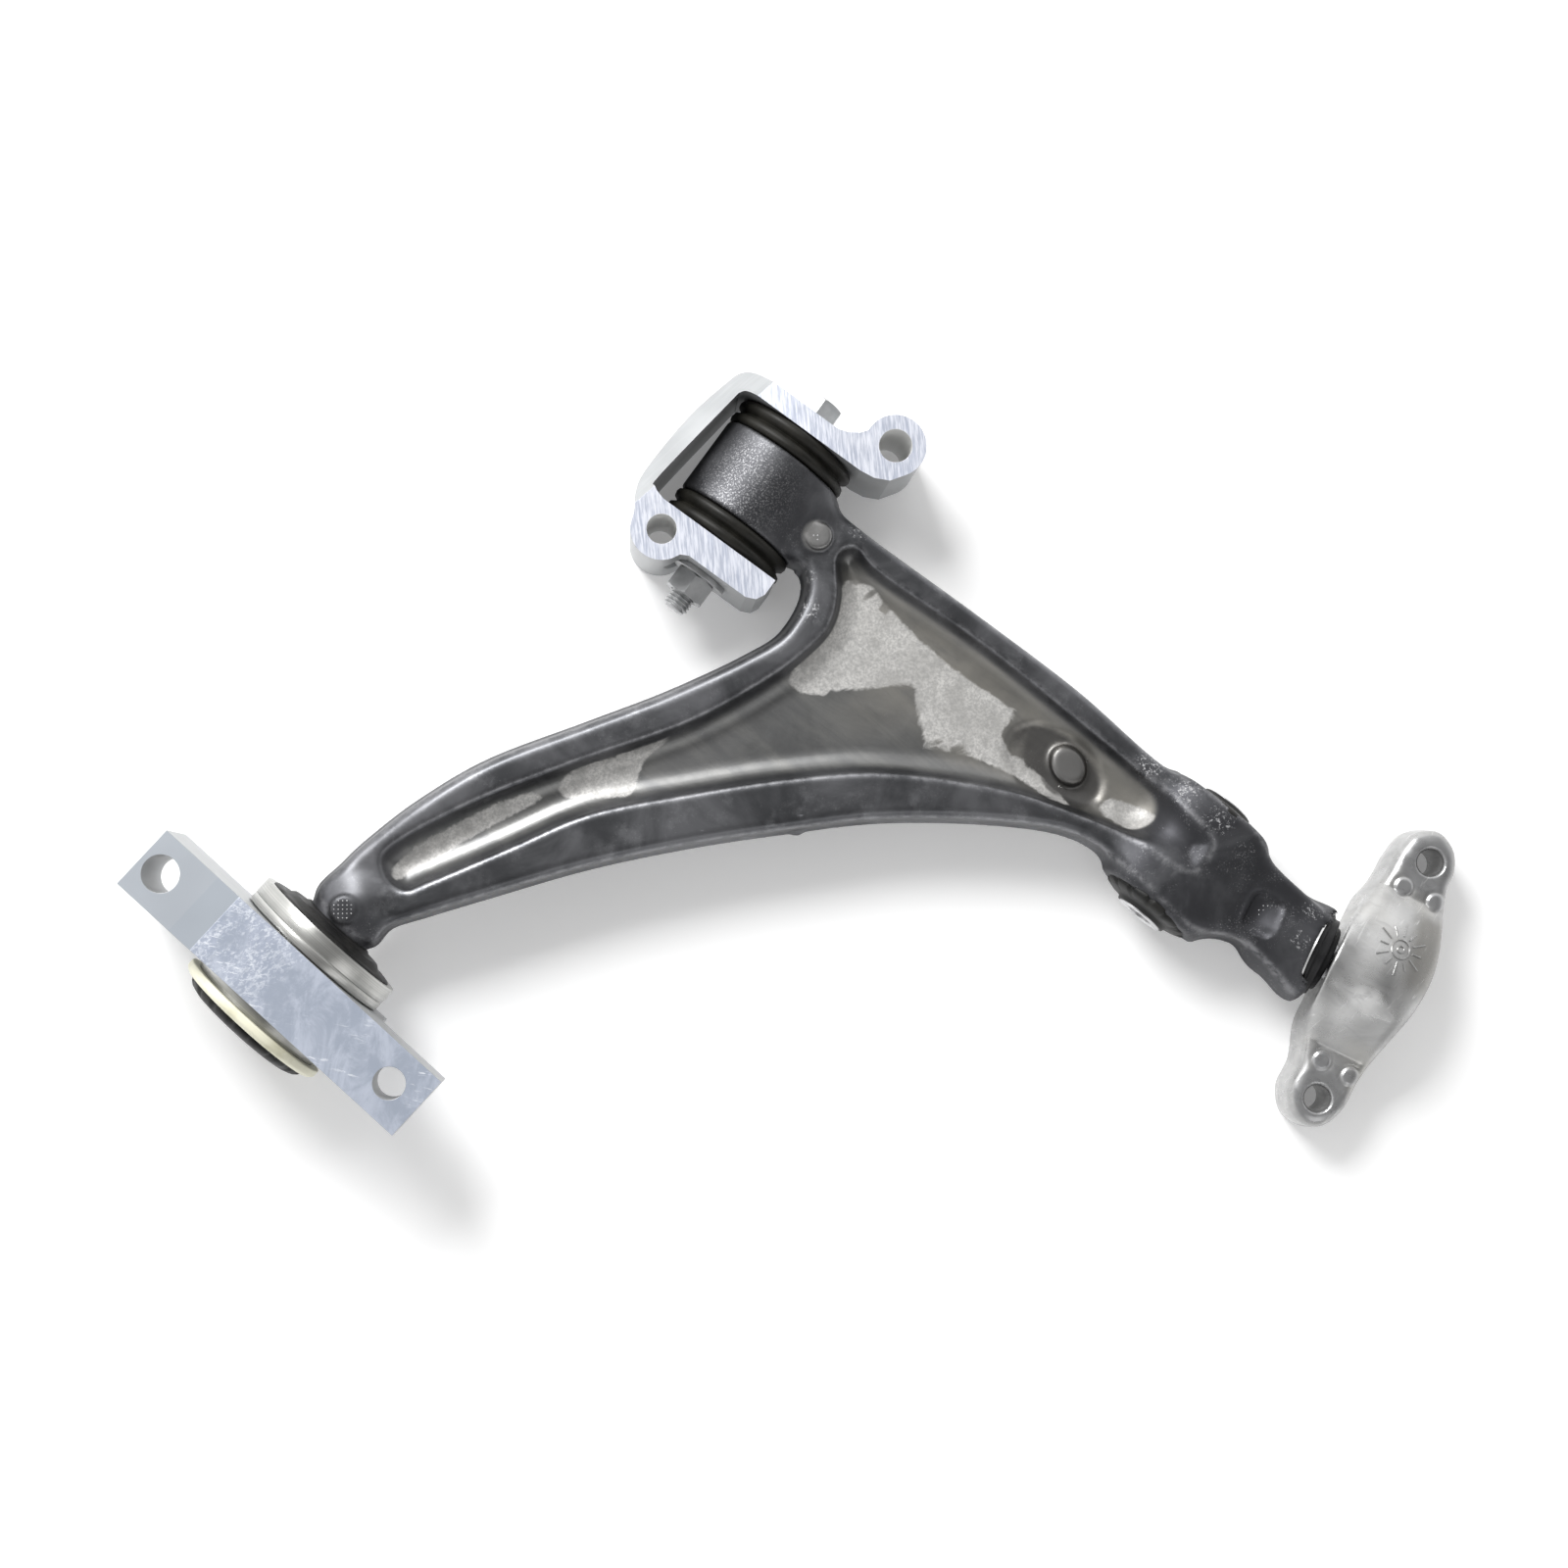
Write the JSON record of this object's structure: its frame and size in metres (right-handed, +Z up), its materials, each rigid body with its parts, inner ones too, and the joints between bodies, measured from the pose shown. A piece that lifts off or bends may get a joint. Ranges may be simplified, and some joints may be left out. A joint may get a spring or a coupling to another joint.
{
  "type": "suspension control arm",
  "caption": "Forged L-shaped lower control arm with a clevis-bracketed front bush, a bar-bracketed rear bush, a damper bush and a ball joint carrying a two-bolt bracket.",
  "frame": {"origin": "centre of the clevis bracket's hole nearest its web, at the bracket's lower face, which is on the bench", "axes": "+Z up from the bench along the bracket bolt holes, +X along the arm's length towards the ball joint"},
  "size_m": [0.6039, 0.3423, 0.075],
  "materials": {
    "forged_aluminium": "dark as-forged skin, worn bright in patches",
    "extruded_aluminium": "bright, with saw and mill marks on the cut faces",
    "cast_aluminium": "satin die casting with smudges",
    "turned_aluminium": "fine turned rings, satin",
    "zinc_steel": "grey zinc flake",
    "sleeve_steel": "satin",
    "ball_steel": "ground",
    "ring_steel": "bright",
    "bush_rubber": "satin black moulded rubber",
    "boot_rubber": "satin black, pleated",
    "ivory_plastic": "semi-matt moulding",
    "seat_plastic": "smooth"
  },
  "bodies": {
    "arm": {"arm_forging": "forged_aluminium", "front_outer_sleeve": "sleeve_steel", "front_rubber": "bush_rubber", "rear_inner_sleeve": "sleeve_steel", "damper_outer_sleeve": "sleeve_steel", "damper_rubber": "bush_rubber", "ball_retainer": "ring_steel", "boot": "boot_rubber", "boot_housing_ring": "ring_steel"},
    "clevis": {"clevis_bracket": "extruded_aluminium", "front_inner_sleeve": "sleeve_steel", "clevis_bolt": "zinc_steel", "clevis_nut": "zinc_steel", "clevis_washer": "zinc_steel"},
    "bar": {"bar_bracket": "extruded_aluminium", "rear_outer_sleeve": "turned_aluminium", "rear_flange_ring": "ivory_plastic", "rear_rubber": "bush_rubber", "rear_membrane": "bush_rubber"},
    "damper_sleeve": {"damper_inner_sleeve": "sleeve_steel"},
    "ball": {"ball_seat": "seat_plastic"},
    "outer": {"outer_bracket": "cast_aluminium", "ball_stud": "ball_steel", "boot_stud_ring": "ring_steel"}
  },
  "joints": [
    {"name": "front_bush_twist", "type": "hinge", "parent": "arm", "child": "clevis", "pos_m": [0.04451, 0.02044, 0.031], "axis": [0.5878, 0.809, 0], "range_deg": [-20, 20], "stiffness_Nm_per_rad": 60},
    {"name": "rear_bush_twist", "type": "hinge", "parent": "arm", "child": "bar", "pos_m": [-0.1661, -0.2012, 0.0375], "axis": [0.6756, 0.7373, 0], "range_deg": [-20, 20], "stiffness_Nm_per_rad": 60},
    {"name": "damper_bush_twist", "type": "hinge", "parent": "arm", "child": "damper_sleeve", "pos_m": [0.2403, -0.1464, 0.0255], "axis": [0.6361, 0.7716, 0], "range_deg": [-12, 12], "stiffness_Nm_per_rad": 20},
    {"name": "ball_tilt", "type": "hinge", "parent": "arm", "child": "ball", "pos_m": [0.2892, -0.18399, 0.024], "axis": [0, 0, 1], "range_deg": [-14, 14], "deforming": ["boot"]},
    {"name": "ball_swivel", "type": "hinge", "parent": "ball", "child": "outer", "pos_m": [0.2892, -0.18399, 0.024], "axis": [0.8957, -0.4446, 0], "range_deg": [-35, 35]}
  ]
}
